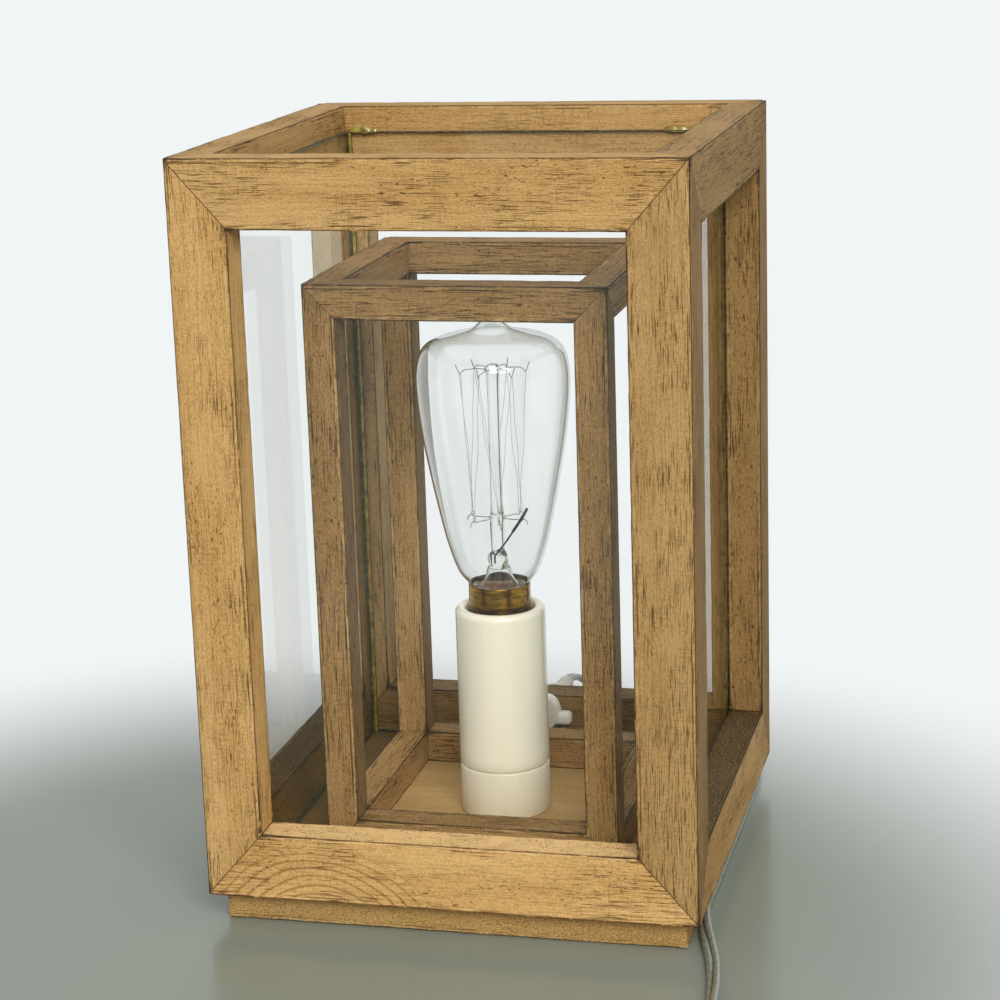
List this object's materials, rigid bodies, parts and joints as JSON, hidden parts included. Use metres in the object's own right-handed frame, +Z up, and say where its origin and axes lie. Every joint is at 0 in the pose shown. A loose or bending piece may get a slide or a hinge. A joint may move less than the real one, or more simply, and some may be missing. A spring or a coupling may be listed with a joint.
{
  "type": "lantern table lamp",
  "caption": "Open-topped timber lantern lamp with glazed mitred frames, an inner timber frame, a bulb in a sleeved lampholder and a corded wheel switch.",
  "frame": {"origin": "bottom centre of the base board, on the surface the lamp stands on", "axes": "+Z up, front of the lantern towards -Y, +X to the right seen from the front"},
  "size_m": [0.224, 0.5265, 0.308],
  "materials": {
    "oak": "oiled, open-pored, worn arrises",
    "inner_oak": "dry, greyer",
    "base_oak": "rough sawn edges",
    "floor_oak": "smooth",
    "pane_glass": "clear float glass, cut edges",
    "bulb_glass": "clear blown glass",
    "steel": "zinc plated",
    "glue": "clear, yellowed",
    "sleeve": "cream, glossy",
    "foot_ring": "greyer cream",
    "insulator": "moulded",
    "brass": "bright",
    "cap_brass": "aged",
    "black_glass": "black, glossy",
    "bright_wire": "bright wire",
    "filament": "carbon grey",
    "dark_wire": "oxidised",
    "clear_cord": "clear, with tinned strands",
    "white_plastic": "moulded",
    "clear_plastic": "clear moulded",
    "tie": "soft strap"
  },
  "bodies": {
    "lantern": {"front_left_stile": "oak", "front_right_stile": "oak", "front_top_rail": "oak", "front_bottom_rail": "oak", "back_left_stile": "oak", "back_right_stile": "oak", "back_top_rail": "oak", "back_bottom_rail": "oak", "left_front_stile": "oak", "left_back_stile": "oak", "left_top_rail": "oak", "left_bottom_rail": "oak", "right_front_stile": "oak", "right_back_stile": "oak", "right_top_rail": "oak", "right_bottom_rail": "oak", "inner_front_left_post": "inner_oak", "inner_front_right_post": "inner_oak", "inner_back_left_post": "inner_oak", "inner_back_right_post": "inner_oak", "inner_top_rails": "inner_oak", "inner_bottom_rails": "inner_oak", "base_board": "base_oak", "floor_panel": "floor_oak", "base_screws": "steel", "post_screws": "steel", "front_pane": "pane_glass", "back_pane": "pane_glass", "left_pane": "pane_glass", "right_pane": "pane_glass", "pane_glue": "glue", "socket_sleeve": "sleeve", "socket_foot_ring": "foot_ring", "holder_body": "insulator", "screw_shell": "brass", "centre_contact": "brass", "socket_nipple": "steel", "socket_nut": "steel", "terminal_screws": "brass", "inner_cord": "clear_cord", "strain_relief": "white_plastic", "cord_lead": "clear_cord", "switch_lower": "clear_plastic", "switch_upper": "clear_plastic", "switch_screw": "steel", "cord_link": "clear_cord", "cord_coil": "clear_cord", "cord_tie": "tie", "plug_body": "clear_plastic", "plug_blades": "steel"},
    "bulb_cap_body": {"bulb_cap": "cap_brass", "cap_insulator": "black_glass", "cap_contact": "steel"},
    "bulb_body": {"bulb_glass": "bulb_glass", "bulb_stem": "bulb_glass", "support_wires": "bright_wire", "filament": "filament", "lead_wires": "dark_wire"},
    "wheel_body": {"switch_wheel": "white_plastic"}
  },
  "joints": [
    {"name": "bulb_lift", "type": "slide", "parent": "lantern", "child": "bulb_cap_body", "axis": [0, 0, 1], "range_m": [0, 0.0145]},
    {"name": "bulb_turn", "type": "hinge", "parent": "bulb_cap_body", "child": "bulb_body", "pos_m": [0, 0, 0.118], "axis": [0, 0, 1], "range_deg": [0, 1440]},
    {"name": "wheel_turn", "type": "hinge", "parent": "lantern", "child": "wheel_body", "pos_m": [0.1155, -0.208, 0.0065], "axis": [0, 0, 1], "continuous": true}
  ],
  "couplings": [
    {"joint": "bulb_lift", "follows": "bulb_turn", "m_per_rad": 0.00057614}
  ]
}
